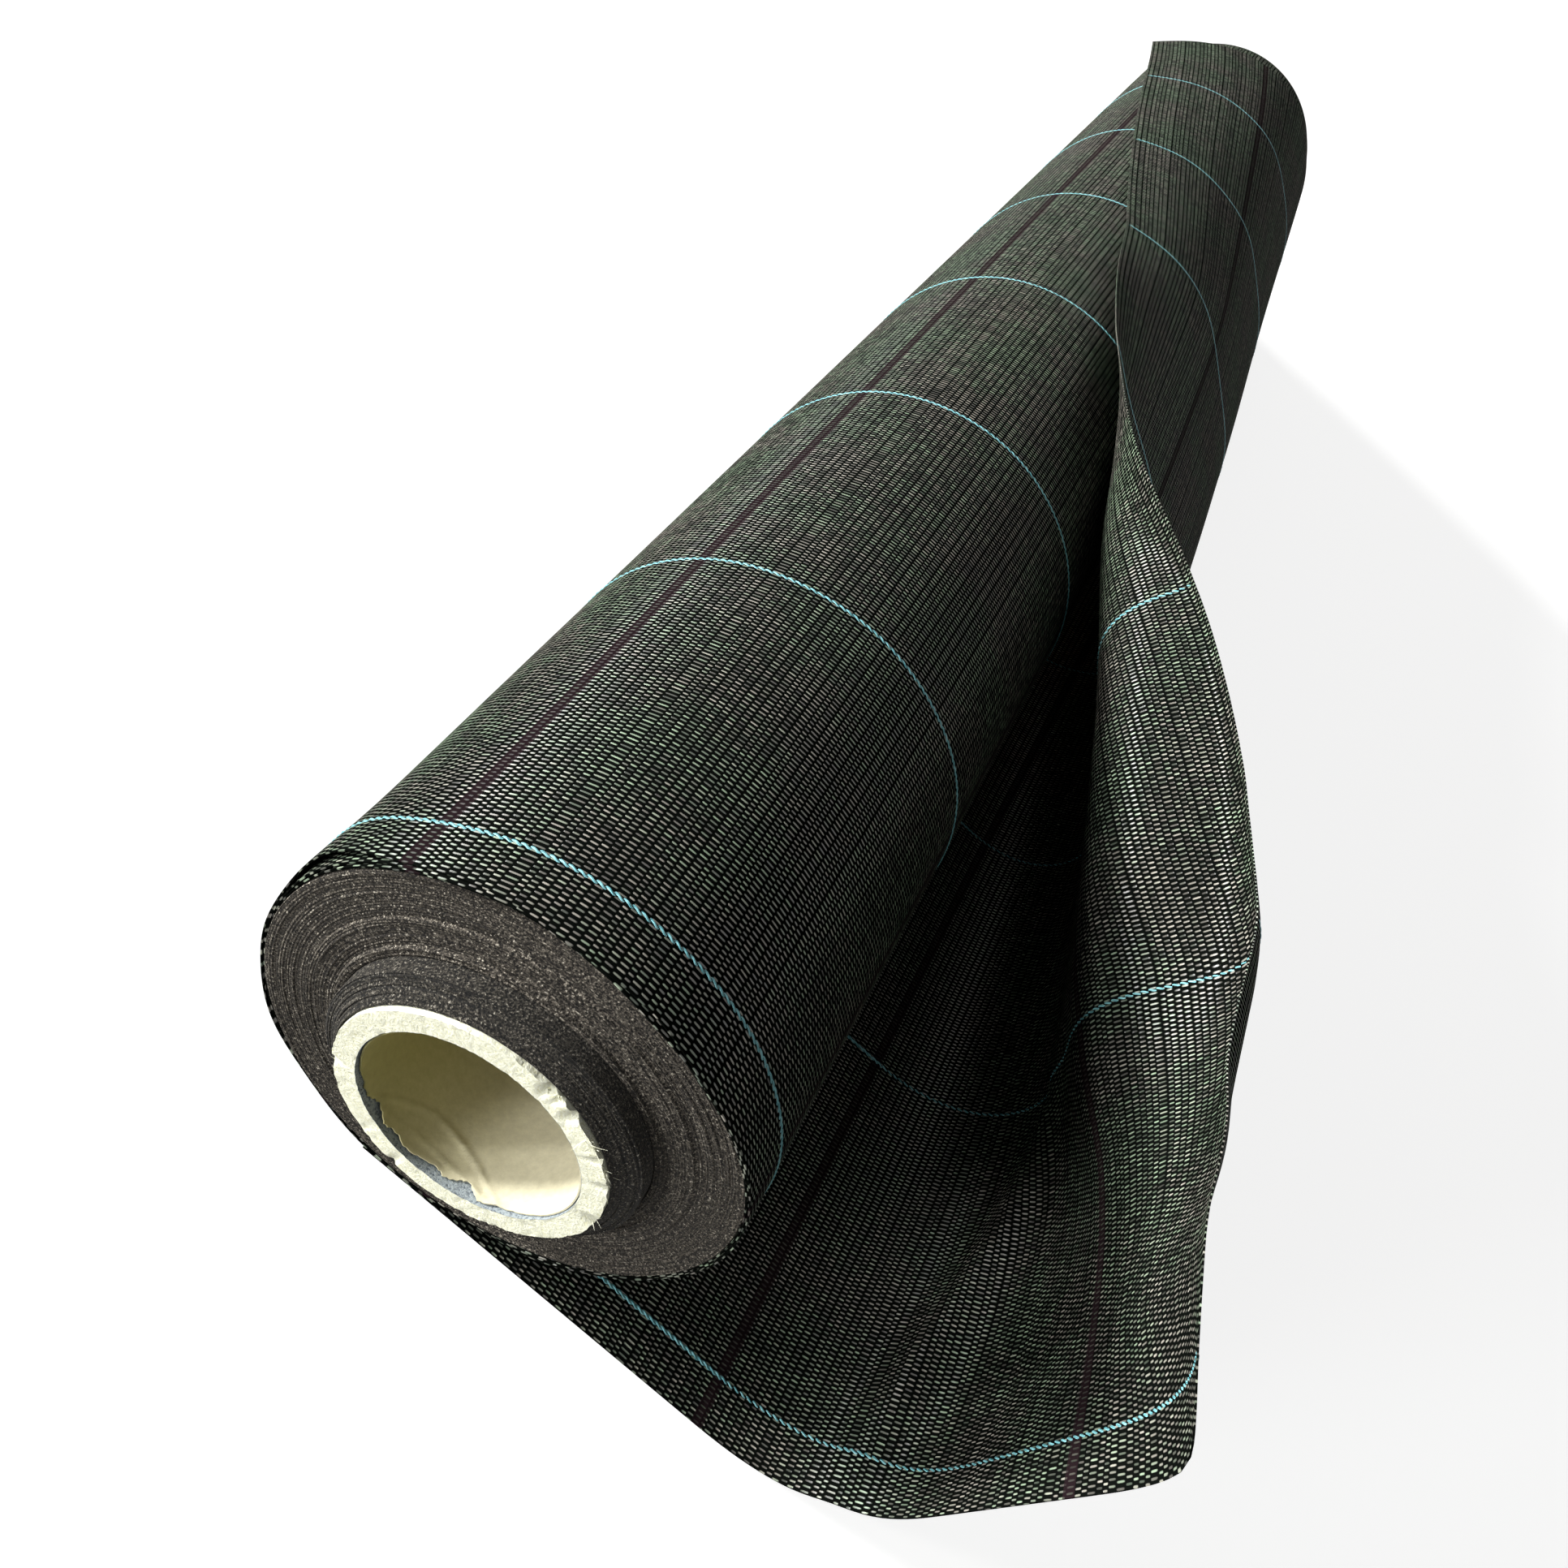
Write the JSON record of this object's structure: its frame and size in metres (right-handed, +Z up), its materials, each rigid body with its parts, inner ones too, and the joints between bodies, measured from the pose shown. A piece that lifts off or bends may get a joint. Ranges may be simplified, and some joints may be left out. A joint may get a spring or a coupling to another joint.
{
  "type": "roll of woven weed control fabric",
  "caption": "Roll of black woven ground cover on a cardboard core, turning on its axis, with coloured marker yarns and a loose end standing open beside it.",
  "frame": {"origin": "on the ground below the roll's axis, halfway across the fabric", "axes": "+Y along the roll's axis, away from the end that the picture shows; +X to the side where the loose end opens; +Z up"},
  "size_m": [0.2845, 1.08, 0.1931],
  "materials": {
    "black_web": "tight plain weave of flat polypropylene tapes, slightly glossy",
    "web_edges": "cut edges of the wound layers, fuzzy and matt",
    "teal_yarn": "twisted polypropylene yarn",
    "core_board": "spirally wound grey board, ragged at the cut",
    "liner_paper": "brown kraft paper, creased"
  },
  "bodies": {
    "loose_web": {"loose_end": "black_web", "marker_yarn_loose_1": "teal_yarn", "marker_yarn_loose_2": "teal_yarn", "marker_yarn_loose_3": "teal_yarn", "marker_yarn_loose_4": "teal_yarn", "marker_yarn_loose_5": "teal_yarn", "marker_yarn_loose_6": "teal_yarn", "marker_yarn_loose_7": "teal_yarn"},
    "roll": {"core_tube": "core_board", "core_liner_ply": "liner_paper", "first_turns": "web_edges", "body_turns": "web_edges", "outer_turns": "black_web", "marker_yarn_roll_1": "teal_yarn", "marker_yarn_roll_2": "teal_yarn", "marker_yarn_roll_3": "teal_yarn", "marker_yarn_roll_4": "teal_yarn", "marker_yarn_roll_5": "teal_yarn", "marker_yarn_roll_6": "teal_yarn", "marker_yarn_roll_7": "teal_yarn"}
  },
  "joints": [
    {"name": "roll_turn", "type": "hinge", "parent": "loose_web", "child": "roll", "pos_m": [0, 0, 0.0803], "axis": [0, 1, 0], "continuous": true}
  ]
}
